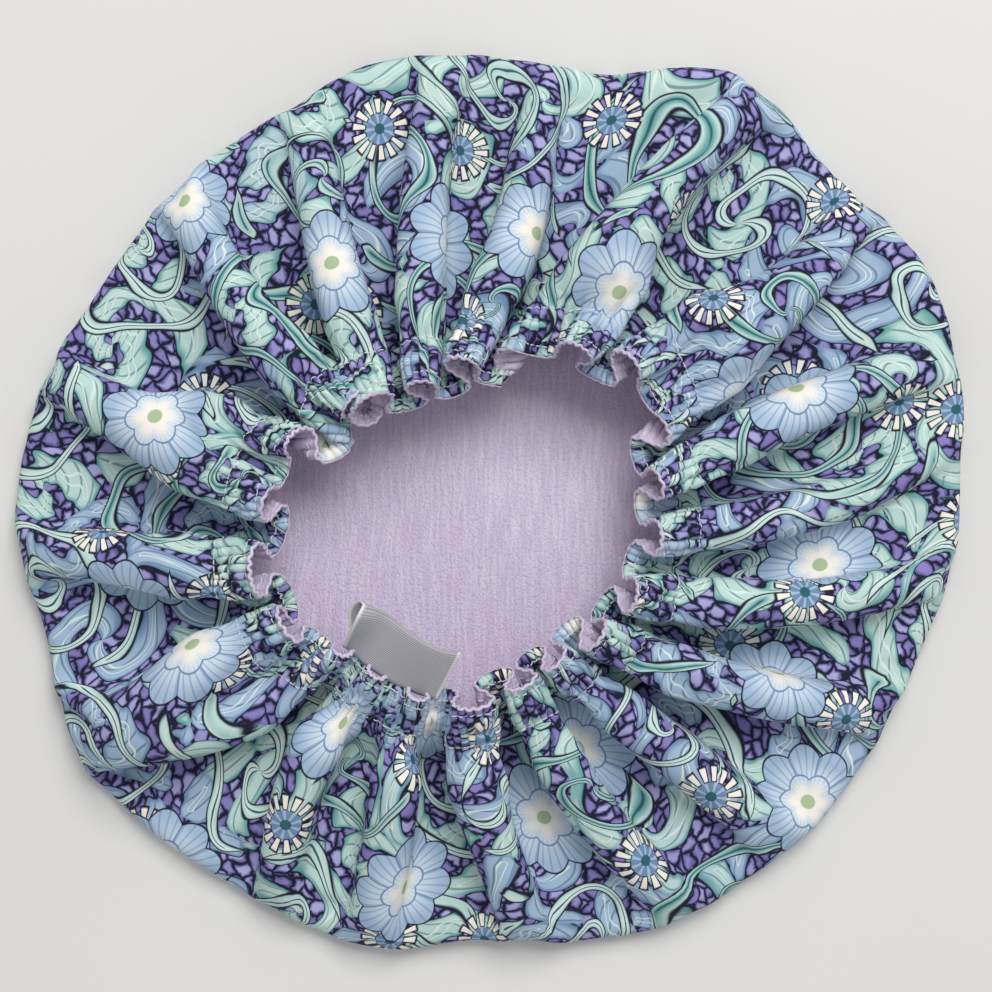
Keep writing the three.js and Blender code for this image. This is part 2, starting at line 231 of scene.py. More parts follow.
def keep_folds_apart():
    tree = kdtree.KDTree(len(cloth))
    here = cloth.tolist()
    for i, point in enumerate(here):
        tree.insert(point, i)
    tree.balance()
    near = []
    for i, point in enumerate(here):
        near.extend((i, j) for _, j, _ in tree.find_range(point, LEAST_GAP) if j > i)
    a, b = np.array(near, int).reshape(-1, 2).T
    folded = np.linalg.norm(flat_points[a] - flat_points[b], axis=1) > FAR_ON_CLOTH
    a, b = a[folded], b[folded]
    apart = cloth[b] - cloth[a]
    far = np.linalg.norm(apart, axis=1)[:, None]
    push = apart * (LEAST_GAP - far) / np.maximum(far, 1e-6) / 4
    shares = np.bincount(np.concatenate([a, b]), minlength=len(cloth)).clip(1)[:, None]
    move = np.zeros_like(cloth)
    np.add.at(move, a, -push)
    np.add.at(move, b, push)
    cloth[:] += move / np.sqrt(shares) * free


for step in range(LAY_STEPS):
    drift = (cloth - before) * DRIFT_KEPT
    before = cloth.copy()
    cloth += (drift + FALL) * free
    for _ in range(PULLS):
        for a, b, cut, pull, pushes_only in strands:
            apart = cloth[b] - cloth[a]
            far = np.maximum(np.sqrt((apart * apart).sum(1)), 1e-9)
            short = (far - cut) / far
            if pushes_only:
                short = np.minimum(short, 0)
            moved = (pull * short)[:, None] * apart / np.maximum(free[a] + free[b], 1)
            cloth[a] += moved * free[a]
            cloth[b] -= moved * free[b]
        draw_in(min(1, (step + 1) / (DRAWN_BY * LAY_STEPS)))
    cloth[:, 2] = np.maximum(cloth[:, 2], floor_height)
    if step % 3 == 2:
        keep_folds_apart()
cloth = cloth.reshape(ROWS, COLUMNS, 3)

# The rim is eased on to the outline that the cap has on the table
bearings = np.degrees(np.arctan2(cloth[..., 1], cloth[..., 0]))
from_middle = np.hypot(cloth[..., 0], cloth[..., 1])
lies_at = np.zeros(360)
np.maximum.at(lies_at, np.floor(np.mod(bearings, 360)).astype(int), from_middle)
around_again = np.concatenate([lies_at[-4:], lies_at, lies_at[:4]])
lies_at = np.convolve(around_again, np.ones(9) / 9, "valid")
half_degrees = np.arange(360) + 0.5
CLOTH_INSIDE = 0.7
meant = np.hypot(*oval((0, 0), RIM_HALF, RIM_UNEVEN, half_degrees, -CLOTH_INSIDE).T)
eased_out = np.interp(bearings, half_degrees, meant / lies_at, period=360) - 1
cloth[..., :2] *= (1 + eased_out * eased(from_middle, 70, 130))[..., None]


def cubic(gone):
    """Shares of four neighbours in a smooth curve, part of the way from the second to the third."""
    return np.stack(
        [
            -gone / 2 + gone**2 - gone**3 / 2,
            1 - 2.5 * gone**2 + 1.5 * gone**3,
            gone / 2 + 2 * gone**2 - 1.5 * gone**3,
            -(gone**2) / 2 + gone**3 / 2,
        ]
    )


def cloth_at(row, column):
    i = np.clip(np.floor(row).astype(int), 0, ROWS - 2)
    j = np.floor(column).astype(int)
    down, across = cubic(row - i), cubic(column - j)
    total = 0
    for m in range(4):
        for k in range(4):
            points = cloth[np.clip(i + m - 1, 0, ROWS - 1), (j + k - 1) % COLUMNS]
            total = total + (down[m] * across[k])[:, None] * points
    return total


# The settled cloth as rings of points, from the crown's centre out over the rim and in to the
# edge. Rings double their points on the way, since the casing is finely puckered by its stitching
CROWN_RINGS = [
    (0.04, 27), (0.08, 27), (0.13, 54), (0.18, 54), (0.23, 108), (0.28, 108), (0.33, 108),
    (0.38, 108), (0.43, 216), (0.48, 216), (0.53, 216), (0.58, 216), (0.63, 216), (0.68, 216),
    (0.73, 216), (0.78, 216), (0.83, 432), (0.88, 432), (0.92, 432), (0.96, 432), (1, 432),
]
FAR_FROM_EDGE = 200.0
crown_centre = np.array([*CUT_CENTRE, CROWN_HEIGHT])
rings = []
for share, count in CROWN_RINGS:
    step = COLUMNS // count
    points = crown_centre + share * (cloth[0, ::step] - crown_centre)
    cut_points = CUT_CENTRE + share * (flat[0, ::step] - CUT_CENTRE)
    rings.append((points, cut_points, np.full(count, FAR_FROM_EDGE)))


def wall_ring(row, count):
    """One more ring of the wall, at a row of the grid that may differ from column to column."""
    column = np.arange(count) * COLUMNS / count
    column_span = np.interp(column, np.arange(COLUMNS), span, period=COLUMNS)
    cut_reach = CUT_RADIUS - (1 - row / (ROWS - 1)) * column_span
    column_turn = column * 2 * math.pi / COLUMNS
    direction = np.column_stack([np.cos(column_turn), np.sin(column_turn)])
    back = CUT_RADIUS - cut_reach
    rings.append((cloth_at(row, column), CUT_CENTRE + cut_reach[:, None] * direction, back))


for row in np.arange(0.8, 24.1, 0.8):
    wall_ring(np.full(COLUMNS, row), COLUMNS)
for row in np.arange(24.6, 34.6, 0.6):
    wall_ring(np.full(2 * COLUMNS, row), 2 * COLUMNS)
first_casing_ring = len(rings)
CASING_COLUMNS = 4 * COLUMNS
casing_column = np.arange(CASING_COLUMNS) * COLUMNS / CASING_COLUMNS
casing_span = np.interp(casing_column, np.arange(COLUMNS), span, period=COLUMNS)
CASING_BACKS = np.arange(23, -0.5, -1.0)
for back in CASING_BACKS:
    wall_ring((ROWS - 1) * (1 - back / casing_span), CASING_COLUMNS)

ring_starts = np.cumsum([1] + [len(points) for points, _, _ in rings])
middle_points = np.vstack([[crown_centre]] + [points for points, _, _ in rings])
cut_points = np.vstack([[CUT_CENTRE]] + [points for _, points, _ in rings])
back_from_edge = np.concatenate([[FAR_FROM_EDGE]] + [back for _, _, back in rings])

faces = []
for j in range(len(rings[0][0])):
    faces.append((0, 1 + (j + 1) % len(rings[0][0]), 1 + j))
for ring in range(len(rings) - 1):
    here, there = len(rings[ring][0]), len(rings[ring + 1][0])
    a, b = ring_starts[ring], ring_starts[ring + 1]
    for j in range(here):
        left, right = a + j, a + (j + 1) % here
        if there == here:
            faces.append((left, right, b + (j + 1) % there, b + j))
        else:
            low, mid, high = b + 2 * j, b + 2 * j + 1, b + (2 * j + 2) % there
            faces.extend([(left, right, mid), (left, mid, low), (right, high, mid)])


def point_normals(points):
    corners = [(f[0], f[1], f[2]) for f in faces]
    corners += [(f[0], f[2], f[3]) for f in faces if len(f) == 4]
    corners = np.array(corners)
    p, q, r = (points[corners[:, k]] for k in range(3))
    facing = np.cross(q - p, r - p)
    total = np.zeros_like(points)
    for k in range(3):
        np.add.at(total, corners[:, k], facing)
    return total / np.linalg.norm(total, axis=1)[:, None]


# The elastic's pull puckers the cloth of the casing finely and unevenly
PUCKER_PITCH = 4.6
PUCKER_HEIGHT = 0.85
cut_turn = np.arctan2(*(cut_points - CUT_CENTRE).T[::-1])
cut_length = cut_turn * CUT_RADIUS
pucker_drift = 2.5 * np.sin(cut_turn * 23) + 2 * np.sin(cut_turn * 41 + 1)
pucker = np.sin(2 * math.pi * cut_length / PUCKER_PITCH + pucker_drift)
pucker *= 0.75 + 0.25 * np.sin(cut_turn * 67)
pucker *= eased(back_from_edge, 23, 13) * (1 - 0.4 * eased(back_from_edge, EDGE_ROW_BACK, 0))

# Creases run on from the puckers down the wall, each to its own length
CREASE_PITCH = 12.5
CREASE_HEIGHT = 0.9
CREASE_FADE = 24
crease_drift = 3 * np.sin(cut_turn * 17 + 2) + 2 * np.sin(cut_turn * 29)
crease = np.sin(2 * math.pi * cut_length / CREASE_PITCH + crease_drift)
crease *= 0.6 + 0.4 * np.sin(cut_turn * 37 + 1)
crease_end = 46 + 10 * np.sin(cut_turn * 31 + 3)
crease *= eased(back_from_edge, crease_end, crease_end - CREASE_FADE) * eased(back_from_edge, 8, 18)
ruffle = pucker * PUCKER_HEIGHT + crease * CREASE_HEIGHT
middle_points += point_normals(middle_points) * ruffle[:, None]
outward_way = point_normals(middle_points)

# Room between the layers: close together, but held apart in the casing by the elastic's strip,
# and more where the strip's two ends lap below the label
LAYER_OFFSET = 0.35
ELASTIC_ROOM = 0.4
LAP_ROOM = 0.5
LAP_LENGTH = 14
lap_turn = math.radians(LABEL_ANGLE)
from_lap = np.abs((cut_turn - lap_turn + math.pi) % (2 * math.pi) - math.pi) * CUT_RADIUS
in_casing = eased(back_from_edge, CASING_ROW_BACK, CASING_ROW_BACK - 2)
in_casing *= eased(back_from_edge, EDGE_ROW_BACK, EDGE_ROW_BACK + 2)
offset = LAYER_OFFSET + in_casing * (ELASTIC_ROOM + LAP_ROOM * eased(from_lap, LAP_LENGTH, 9))

# Outer fabric: a fine woven cotton, printed with leaf scrolls in violet, mint, teal and sky blue,
# with navy outlines, pale round rosettes and small rayed flowers. It is the outside of the cap
# and lies on the table with its crown.
class Wire:
    """A shader socket that can be added, scaled and compared as a number."""

    def __init__(self, socket):
        self.socket = socket
        self.tree = socket.id_data

    def node(self, kind, settings=(), sockets=()):
        made = self.tree.nodes.new(kind)
        for key, value in dict(settings).items():
            setattr(made, key, value)
        for key, value in dict(sockets).items():
            socket = next(s for s in made.inputs if key in (s.identifier, s.name) and s.enabled)
            if isinstance(value, Wire):
                self.tree.links.new(value.socket, socket)
            else:
                socket.default_value = value
        return {key: Wire(s) for s in made.outputs if s.enabled for key in (s.name, s.identifier)}

    def math(self, operation, *values):
        sockets = dict(zip(("Value", "Value_001", "Value_002"), values))
        return self.node("ShaderNodeMath", {"operation": operation}, sockets)["Value"]

    def __add__(self, other):
        return self.math("ADD", self, other)

    def __sub__(self, other):
        return self.math("SUBTRACT", self, other)

    def __rsub__(self, other):
        return self.math("SUBTRACT", other, self)

    def __mul__(self, other):
        return self.math("MULTIPLY", self, other)

    def __gt__(self, other):
        return self.math("GREATER_THAN", self, other)

    __radd__ = __add__
    __rmul__ = __mul__

    def sine(self):
        return self.math("SINE", self)

    def size(self):
        return self.math("ABSOLUTE", self)

    def rise(self, low, high):
        settings = {"interpolation_type": "SMOOTHSTEP"}
        sockets = {"Value": self, "From Min": low, "From Max": high}
        return self.node("ShaderNodeMapRange", settings, sockets)["Result"]

    def vector(self, operation, other=None, scale=None):
        sockets = {"Vector": self}
        if other is not None:
            sockets["Vector_001"] = other
        if scale is not None:
            sockets["Scale"] = scale
        made = self.node("ShaderNodeVectorMath", {"operation": operation}, sockets)
        return made["Value" if operation == "LENGTH" else "Vector"]

    def over(self, under, top):
        sockets = {"Factor_Float": self, "A_Color": under, "B_Color": top}
        return self.node("ShaderNodeMix", {"data_type": "RGBA"}, sockets)["Result_Color"]


def dye(red, green, blue):
    """A colour as read off a screen, 0 to 255, in the light values that a shader takes."""
    parts = [c / 255 for c in (red, green, blue)]
    return (*[c / 12.92 if c <= 0.04045 else ((c + 0.055) / 1.055) ** 2.4 for c in parts], 1)


def new_material(name):
    material = bpy.data.materials.new(name)
    material.use_nodes = True
    shader = material.node_tree.nodes["Principled BSDF"]
    cut = material.node_tree.nodes.new("ShaderNodeUVMap")
    cut.uv_map = "cut"
    return material, shader, Wire(cut.outputs["UV"])


def connect(shader, name, wire):
    wire.tree.links.new(wire.socket, shader.inputs[name])


def relief(shader, height, distance_m, strength):
    sockets = {"Height": height, "Distance": distance_m, "Strength": strength}
    connect(shader, "Normal", height.node("ShaderNodeBump", (), sockets)["Normal"])


# Width in millimetres of the square that a map's 0 to 1 covers
UV_SIZE = 520


def add_piece(name, points, polygons, material, uv=None):
    """A smooth mesh from points in millimetres, with its cut position as the cloth's own map."""
    mesh = bpy.data.meshes.new(name)
    corners = [tuple(int(i) for i in polygon) for polygon in polygons]
    mesh.from_pydata((np.asarray(points) / 1000).tolist(), [], corners)
    mesh.shade_smooth()
    mesh.materials.append(material)
    if uv is not None:
        of_point = np.zeros(len(mesh.loops), np.int64)
        mesh.loops.foreach_get("vertex_index", of_point)
        mapped = np.asarray(uv)[of_point] / UV_SIZE + 0.5
        mesh.uv_layers.new(name="cut").data.foreach_set("uv", mapped.ravel().astype(np.float32))
    piece = bpy.data.objects.new(name, mesh)
    bpy.context.scene.collection.objects.link(piece)
    return piece


def thicken(piece, thickness):
    made = piece.modifiers.new("cloth thickness", "SOLIDIFY")
    made.thickness = thickness / 1000
    made.offset = 0


printed, shader, cut = new_material("printed cotton")
mm = cut.vector("SCALE", scale=UV_SIZE)

navy, deep_violet = dye(20, 24, 46), dye(88, 82, 142)
violet, periwinkle = dye(136, 126, 188), dye(172, 168, 216)
sky, pale_sky, steel = dye(164, 188, 214), dye(208, 222, 235), dye(110, 140, 176)
mint, pale_mint = dye(188, 217, 211), dye(218, 235, 229)
teal, deep_teal = dye(98, 160, 160), dye(46, 94, 108)
sage, cream = dye(172, 192, 152), dye(244, 240, 230)


def noise(point, scale, detail, output="Fac", dimensions="2D"):
    sockets = {"Vector": point, "Scale": scale, "Detail": detail}
    return point.node("ShaderNodeTexNoise", {"noise_dimensions": dimensions}, sockets)[output]


def warped(point, size, amount):
    """A place moved about by up to half an amount, in waves of a size."""
    moved = noise(point, 1 / size, 1.0, "Color").vector("SUBTRACT", (0.5, 0.5, 0.5))
    return point.vector("ADD", moved.vector("SCALE", scale=amount))


def around_centres(point, size, scatter):
    """Distance and angle from the nearest of many scattered centres, its draw and its room."""
    scaled = point.vector("SCALE", scale=1 / size)
    sockets = {"Vector": scaled, "Scale": 1.0, "Randomness": scatter}
    made = point.node("ShaderNodeTexVoronoi", {"voronoi_dimensions": "2D"}, sockets)
    border = {"voronoi_dimensions": "2D", "feature": "DISTANCE_TO_EDGE"}
    room = point.node("ShaderNodeTexVoronoi", border, sockets)["Distance"] * size
    local = scaled.vector("SUBTRACT", made["Position"]).vector("SCALE", scale=size)
    parts = local.node("ShaderNodeSeparateXYZ", (), {"Vector": local})
    draw = local.node("ShaderNodeSeparateColor", (), {"Color": made["Color"]})
    return local.vector("LENGTH"), parts["Y"].math("ARCTAN2", parts["Y"], parts["X"]), draw, room


# Ground of small crinkled violet leaflets with dark gaps
leaflet_place = warped(warped(mm, 9, 5), 2.6, 1.6).vector("MULTIPLY", (0.2, 0.27, 1.0))
leaflet_sockets = {"Vector": leaflet_place, "Scale": 1.0, "Randomness": 1.0}
leaflet_border = {"voronoi_dimensions": "2D", "feature": "DISTANCE_TO_EDGE"}
leaflet_gap = mm.node("ShaderNodeTexVoronoi", leaflet_border, leaflet_sockets)["Distance"]
leaflet = mm.node("ShaderNodeTexVoronoi", {"voronoi_dimensions": "2D"}, leaflet_sockets)
leaflet_draw = mm.node("ShaderNodeSeparateColor", (), {"Color": leaflet["Color"]})
ground = leaflet_draw["Red"].rise(0.35, 0.65).over(violet, periwinkle)
ground = (1 - leaflet_gap.rise(0.1, 0.3)).over(ground, deep_violet)
ground = (1 - leaflet_gap.rise(0.07, 0.12)).over(ground, navy)

# Leaf scrolls: two arms curl out from each centre, some one way and some the other
SCROLL_SPACING = 33
scroll_place = warped(mm, 30, 14)
scroll_reach, scroll_angle, scroll_draw, scroll_room = around_centres(
    scroll_place, SCROLL_SPACING, 1.0
)
scroll_hand = (scroll_draw["Red"] > 0.5) * 2 - 1
scroll_phase = scroll_angle * 2 + scroll_reach * scroll_hand * 0.36 + scroll_draw["Green"] * 6
scroll_lobes = (scroll_reach * 0.9 + scroll_angle * 3).sine() * 0.3
scroll = (scroll_phase + scroll_lobes).sine() - (1 - scroll_room.rise(0, 3)) * 0.9
leaf = scroll_draw["Blue"].rise(0.55, 0.6).over(mint, sky)
leaf_shade = scroll_draw["Blue"].rise(0.55, 0.6).over(teal, steel)
leaf = scroll.rise(-0.2, 0.4).over(leaf_shade, leaf)
leaf_vein = ((scroll_reach * 1.7 + scroll_angle * 6).sine() - 0.8).rise(0, 0.15)
leaf = (leaf_vein * scroll.rise(-0.1, 0.3) * 0.6).over(leaf, deep_teal)
leaf = (1 - (scroll - 0.93).size().rise(0.01, 0.05)).over(leaf, pale_mint)
printed_colour = scroll.rise(-0.46, -0.34).over(ground, navy)
printed_colour = scroll.rise(-0.26, -0.16).over(printed_colour, leaf)

# Long ribbon leaves wind over the scrolls
RIBBON_SPACING = 58
ribbon_place = warped(mm.vector("ADD", (31.0, 17.0, 0.0)), 45, 24)
ribbon_reach, ribbon_angle, ribbon_draw, ribbon_room = around_centres(
    ribbon_place, RIBBON_SPACING, 1.0
)
ribbon_hand = (ribbon_draw["Red"] > 0.5) * 2 - 1
ribbon_wave = (ribbon_reach * 0.75).sine() * 0.16
ribbon = (ribbon_angle + ribbon_reach * ribbon_hand * 0.24 + ribbon_wave).sine().size()
ribbon = ribbon + (1 - ribbon_room.rise(0, 7)) * 0.6
ribbon_leaf = ribbon_draw["Green"].rise(0.4, 0.6).over(pale_mint, teal)
ribbon_leaf = ribbon.rise(0.05, 0.3).over(ribbon_leaf, mint)
ribbon_leaf = (1 - ribbon.rise(0.03, 0.07)).over(ribbon_leaf, deep_teal)
printed_colour = (1 - ribbon.rise(0.4, 0.5)).over(printed_colour, navy)
printed_colour = (1 - ribbon.rise(0.28, 0.36)).over(printed_colour, ribbon_leaf)

# Small flowers with cream rays and a blue eye
FLOWER_SPACING = 62
FLOWER_RADIUS = 9.6
FLOWER_RAYS = 14
flower_place = mm.vector("ADD", (9.0, 40.0, 0.0))
flower_reach, flower_angle, flower_draw, _ = around_centres(flower_place, FLOWER_SPACING, 0.85)
flower_rays = (flower_angle * FLOWER_RAYS + flower_draw["Red"] * 6).sine()
flower_inside = 1 - flower_reach.rise(FLOWER_RADIUS, FLOWER_RADIUS + 0.5)
flower_ray = flower_inside * (flower_rays - 0.1).rise(-0.15, 0.2)
flower_ray = flower_ray * (1 - flower_reach.rise(FLOWER_RADIUS - 0.8, FLOWER_RADIUS - 0.2))
printed_colour = (flower_inside * (flower_rays + 0.6).rise(-0.1, 0.1)).over(printed_colour, navy)
printed_colour = (flower_ray * flower_reach.rise(4.8, 5.2)).over(printed_colour, cream)
flower_eye = (flower_angle * 9).sine().rise(0.1, 0.8).over(steel, sky)
printed_colour = (1 - flower_reach.rise(4.4, 4.8)).over(printed_colour, flower_eye)
printed_colour = (1 - flower_reach.rise(1.5, 1.8)).over(printed_colour, deep_teal)

# Round rosettes of pale petals that fade to a cream heart
ROSETTE_SPACING = 74
ROSETTE_RADIUS = 14.6
OUTER_PETALS, INNER_PETALS = 9, 6
PETAL_LINES = 36
rosette_place = mm.vector("ADD", (22.0, 6.0, 0.0))
rosette_reach, rosette_angle, rosette_draw, _ = around_centres(rosette_place, ROSETTE_SPACING, 0.55)
rosette_turned = rosette_angle + rosette_draw["Red"] * 6
outer_petals = (rosette_turned * (OUTER_PETALS / 2)).sine().size()
inner_petals = (rosette_turned * (INNER_PETALS / 2) + 0.6).sine().size()
rosette_lines = (rosette_turned * PETAL_LINES).sine().rise(0.55, 0.95)
rosette_edge = rosette_reach - outer_petals * 3.4
heart_edge = rosette_reach - inner_petals * 2.2
petal = rosette_reach.rise(7, 17).over(pale_sky, sky)
petal = (rosette_lines * 0.55).over(petal, steel)
petal = (1 - outer_petals.rise(0.03, 0.16)).over(petal, steel)
heart = heart_edge.rise(2, 7).over(cream, pale_sky)
heart = (rosette_lines * heart_edge.rise(3, 6) * 0.5).over(heart, sky)
petal = (1 - heart_edge.rise(7.2, 7.6)).over(petal, steel)
petal = (1 - heart_edge.rise(6.6, 7.0)).over(petal, heart)
petal = (1 - rosette_reach.rise(2.0, 2.5)).over(petal, sage)
rosette_outline = rosette_edge.rise(ROSETTE_RADIUS + 0.6, ROSETTE_RADIUS + 1)
printed_colour = (1 - rosette_outline).over(printed_colour, navy)
rosette_face = 1 - rosette_edge.rise(ROSETTE_RADIUS, ROSETTE_RADIUS + 0.4)
printed_colour = rosette_face.over(printed_colour, petal)

# Printed ink lies unevenly on the yarns of the weave
YARN_TURNS = 9.5
axes = mm.node("ShaderNodeSeparateXYZ", (), {"Vector": mm})
weave = (axes["X"] * YARN_TURNS).sine() * (axes["Y"] * YARN_TURNS).sine()
slub = noise(mm, 0.9, 4.0)
ink = (slub - 0.5) * 0.35 + weave * 0.04
printed_colour = (ink.size() * 0.2).over(printed_colour, cream)
connect(shader, "Base Color", printed_colour)
connect(shader, "Roughness", 0.86 + (slub - 0.5) * 0.2)
relief(shader, weave * 0.5 + slub, 0.0002, 0.35)
shader.inputs["Specular IOR Level"].default_value = 0.2

# The outer layer stands out from the middle surface by the room between the layers, thickened to
# the cloth's thickness
CLOTH_THICKNESS = 0.3
outer_points = middle_points + outward_way * offset[:, None]
outer = add_piece("outer_fabric_cloth", outer_points, faces, printed, cut_points)
thicken(outer, CLOTH_THICKNESS)
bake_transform(outer)
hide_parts("outer_fabric")

# Waterproof lining: a soft lilac knit with a thin waterproof film, so its face has a fine pebbled
# grain and a low sheen. It lies loose in the crown, and its edge rolls over the outer's edge.
lilac, lilac_hollow_shade, pale_lilac = dye(205, 191, 217), dye(184, 168, 201), dye(219, 208, 228)
laminate, shader, cut = new_material("waterproof laminate")
mm = cut.vector("SCALE", scale=UV_SIZE)
streaks = noise(mm.vector("MULTIPLY", (0.9, 0.07, 1.0)), 1.0, 3.0)
pebble_place = warped(mm, 1.6, 0.8).vector("MULTIPLY", (1.5, 1.1, 1.0))
pebble = mm.node(
    "ShaderNodeTexVoronoi",
    {"voronoi_dimensions": "2D", "feature": "SMOOTH_F1"},
    {"Vector": pebble_place, "Scale": 1.0, "Smoothness": 0.6},
)["Distance"]
grain = noise(mm, 0.5, 5.0)
lining_colour = streaks.rise(0.35, 0.7).over(lilac, pale_lilac)
# The pebbles' hollows are drawn in a deeper lilac: painted shade in the grain's hollows
lining_colour = (pebble.rise(0.35, 0.75) * 0.5).over(lining_colour, lilac_hollow_shade)
connect(shader, "Base Color", lining_colour)
connect(shader, "Roughness", 0.5 + (grain - 0.5) * 0.2)
relief(shader, grain * 0.5 + streaks * 0.5 - pebble, 0.0003, 0.5)
shader.inputs["Sheen Weight"].default_value = 0.1

# On the crown the lining lies in low ripples, a little off the cotton
RIPPLE_LIFT = 1.6
lining_points = middle_points - outward_way * offset[:, None]
x, y = cut_points.T
ripple = 0.9 * np.sin(x / 17 + 1 + 0.8 * np.sin(y / 26)) * np.sin(y / 29 + 2)
ripple += 0.6 * np.sin((x - 2 * y) / 41)
from_centre = np.hypot(x - CUT_CENTRE[0], y - CUT_CENTRE[1])
on_crown = eased(back_from_edge, 118, 132) * eased(from_centre, 128, 100)
lining_points[:, 2] += on_crown * (RIPPLE_LIFT + ripple)

# At the edge the lining rolls over in a half round
LIP_RADIUS = 0.5
LIP_STEPS = 6
edge = np.arange(ring_starts[-2], ring_starts[-1])
forward = middle_points[edge] - middle_points[edge - CASING_COLUMNS]
forward /= np.linalg.norm(forward, axis=1)[:, None]
lip_points, lip_cut, lip_faces = [lining_points], [cut_points], []
edge_turn = np.column_stack([np.cos(cut_turn[edge]), np.sin(cut_turn[edge])])
for i in range(LIP_STEPS):
    bend = math.pi * (i + 0.5) / LIP_STEPS
    way = -outward_way[edge] * math.cos(bend) + forward * math.sin(bend)
    lip_points.append(middle_points[edge] + way * LIP_RADIUS)
    lip_cut.append(cut_points[edge] + edge_turn * LIP_RADIUS * bend)
    here, there = edge[0] + i * CASING_COLUMNS, edge[0] + (i + 1) * CASING_COLUMNS
    for j in range(CASING_COLUMNS):
        k = (j + 1) % CASING_COLUMNS
        lip_faces.append((here + j, here + k, there + k, there + j))
lining_faces = [tuple(reversed(f)) for f in faces + lip_faces]
lining = add_piece(
    "waterproof_lining_cloth", np.vstack(lip_points), lining_faces, laminate, np.vstack(lip_cut)
)
thicken(lining, CLOTH_THICKNESS)
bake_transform(lining)
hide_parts("waterproof_lining")

# Elastic: a flat woven strip of white elastic in the casing between the two layers, gathered with
# them, its two ends lapped below the label.
woven_elastic, shader, cut = new_material("woven elastic")
mm = cut.vector("SCALE", scale=UV_SIZE)
RIB_TURNS = 7
ribs = (mm.vector("LENGTH") * RIB_TURNS).sine()
# The ribs' tops are drawn paler and their grooves darker: painted shade in the grooves between the
# ribs
connect(shader, "Base Color", ribs.rise(-0.4, 0.6).over(dye(214, 211, 204), dye(240, 238, 232)))
relief(shader, ribs, 0.0002, 0.5)
shader.inputs["Roughness"].default_value = 0.8

ELASTIC_WIDTH = 9
ELASTIC_THICKNESS = 0.5
ELASTIC_ROWS = 6
lap_column = LABEL_ANGLE / 360 * CASING_COLUMNS
lap_columns = LAP_LENGTH / (2 * math.pi * (CUT_RADIUS - ELASTIC_BACK)) * CASING_COLUMNS
elastic_columns = np.arange(0, CASING_COLUMNS + lap_columns, 1.0)


def casing_point(back, column):
    """Point and outward way of the casing's middle surface, a distance back from the edge."""
    last = len(CASING_BACKS) - 1.001
    ring = first_casing_ring + np.clip(CASING_BACKS[0] - back, 0, last)
    low = np.floor(ring).astype(int)
    step = (ring - low)[:, None]
    left = np.floor(column).astype(int)
    part = (column - left)[:, None]
    found = []
    for values in (middle_points, outward_way):
        total = 0
        for r, w in ((low, 1 - step), (low + 1, step)):
            start = ring_starts[r]
            near = values[start + left % CASING_COLUMNS]
            far = values[start + (left + 1) % CASING_COLUMNS]
            total = total + w * (near * (1 - part) + far * part)
        found.append(total)
    return found[0], found[1] / np.linalg.norm(found[1], axis=1)[:, None]


# At the lap one end lies on the lining's side of the strip's middle and the other on the cotton's
LAP_GAP = 0.2
lap_shift = (ELASTIC_THICKNESS + LAP_GAP) / 2
shift = lap_shift * (eased(elastic_columns, lap_columns, 3 * lap_columns) - 1)
shift += lap_shift * eased(elastic_columns, CASING_COLUMNS - 2 * lap_columns, CASING_COLUMNS)
elastic_points, elastic_cut, elastic_faces = [], [], []
columns = lap_column - lap_columns / 2 + elastic_columns
for i, across in enumerate(np.linspace(ELASTIC_WIDTH / 2, -ELASTIC_WIDTH / 2, ELASTIC_ROWS)):
    back = ELASTIC_BACK + across
    at, way = casing_point(np.full(len(columns), back), columns)
    elastic_points.append(at + way * shift[:, None])
    elastic_cut.append(np.column_stack([np.zeros(len(columns)), np.full(len(columns), back)]))
    if i:
        for j in range(i * len(columns), (i + 1) * len(columns) - 1):
            before = j - len(columns)
            elastic_faces.append((before, before + 1, j + 1, j))
elastic_points, elastic_cut = np.vstack(elastic_points), np.vstack(elastic_cut)
elastic = add_piece(
    "elastic_band_strip", elastic_points, elastic_faces, woven_elastic, elastic_cut
)
thicken(elastic, ELASTIC_THICKNESS)
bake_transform(elastic)
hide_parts("elastic_band")

# Sewing thread: pale grey spun polyester. Two rows of straight stitches hold the layers, one close
# to the edge and one below the elastic, with the needle's thread outside, the bobbin's inside.
spun_thread, shader, cut = new_material("sewing thread")
place_on_object = cut.node("ShaderNodeTexCoord")["Object"]
fibres = noise(place_on_object, 2600.0, 2.0, dimensions="3D")
connect(shader, "Base Color", fibres.rise(0.3, 0.7).over(dye(196, 203, 210), dye(224, 228, 231)))
relief(shader, fibres, 0.0001, 0.5)
shader.inputs["Roughness"].default_value = 0.6

THREAD_RADIUS = 0.2
THREAD_SIDES = 6


def thread_tubes(name, lines, ways, radius):
    """Round threads along lines of points, given which way is up at each point."""
    along = np.gradient(lines, axis=1)
    along /= np.linalg.norm(along, axis=2)[..., None]
    side = np.cross(ways, along)
    side /= np.linalg.norm(side, axis=2)[..., None]
    over = np.cross(along, side)
    around = np.arange(THREAD_SIDES) * 2 * math.pi / THREAD_SIDES
    points = lines[:, :, None] + radius * (
        np.cos(around)[:, None] * side[:, :, None] + np.sin(around)[:, None] * over[:, :, None]
    )
    count, stations = lines.shape[:2]
    polygons = []
    for i in range(count):
        start = i * stations * THREAD_SIDES
        for s in range(stations - 1):
            a = start + s * THREAD_SIDES
            for k in range(THREAD_SIDES):
                n = (k + 1) % THREAD_SIDES
                polygons.append((a + k, a + n, a + n + THREAD_SIDES, a + k + THREAD_SIDES))
        polygons.append(tuple(start + k for k in reversed(range(THREAD_SIDES))))
        last = start + (stations - 1) * THREAD_SIDES
        polygons.append(tuple(last + k for k in range(THREAD_SIDES)))
    piece = add_piece(name, points.reshape(-1, 3), polygons, spun_thread)
    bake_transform(piece)
    return piece


STITCH_LENGTH = 3.0
STITCH_GAP = 0.55
STITCH_STATIONS = 7
CLOTH_FACE = 0.18


